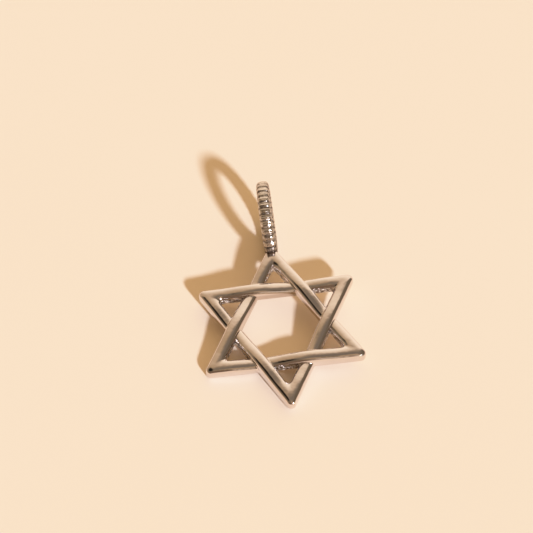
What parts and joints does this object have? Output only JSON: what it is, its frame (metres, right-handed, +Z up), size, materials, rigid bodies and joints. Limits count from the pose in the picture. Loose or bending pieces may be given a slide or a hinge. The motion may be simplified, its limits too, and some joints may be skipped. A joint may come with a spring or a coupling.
{
  "type": "star of david pendant",
  "caption": "Star pendant of interlaced triangles in polished silver, with an upright oval bail of ribbed wire that a chain passes through.",
  "frame": {"origin": "middle of the box's bottom face, on the surface that the pendant lies on", "axes": "+Y from the star's bottom tip towards the bail, +Z up from that surface, +X to the right seen from above"},
  "size_m": [0.0218, 0.035, 0.0095],
  "materials": {
    "silver": "polished"
  },
  "bodies": {
    "root": {"pendant": "silver"}
  },
  "joints": []
}
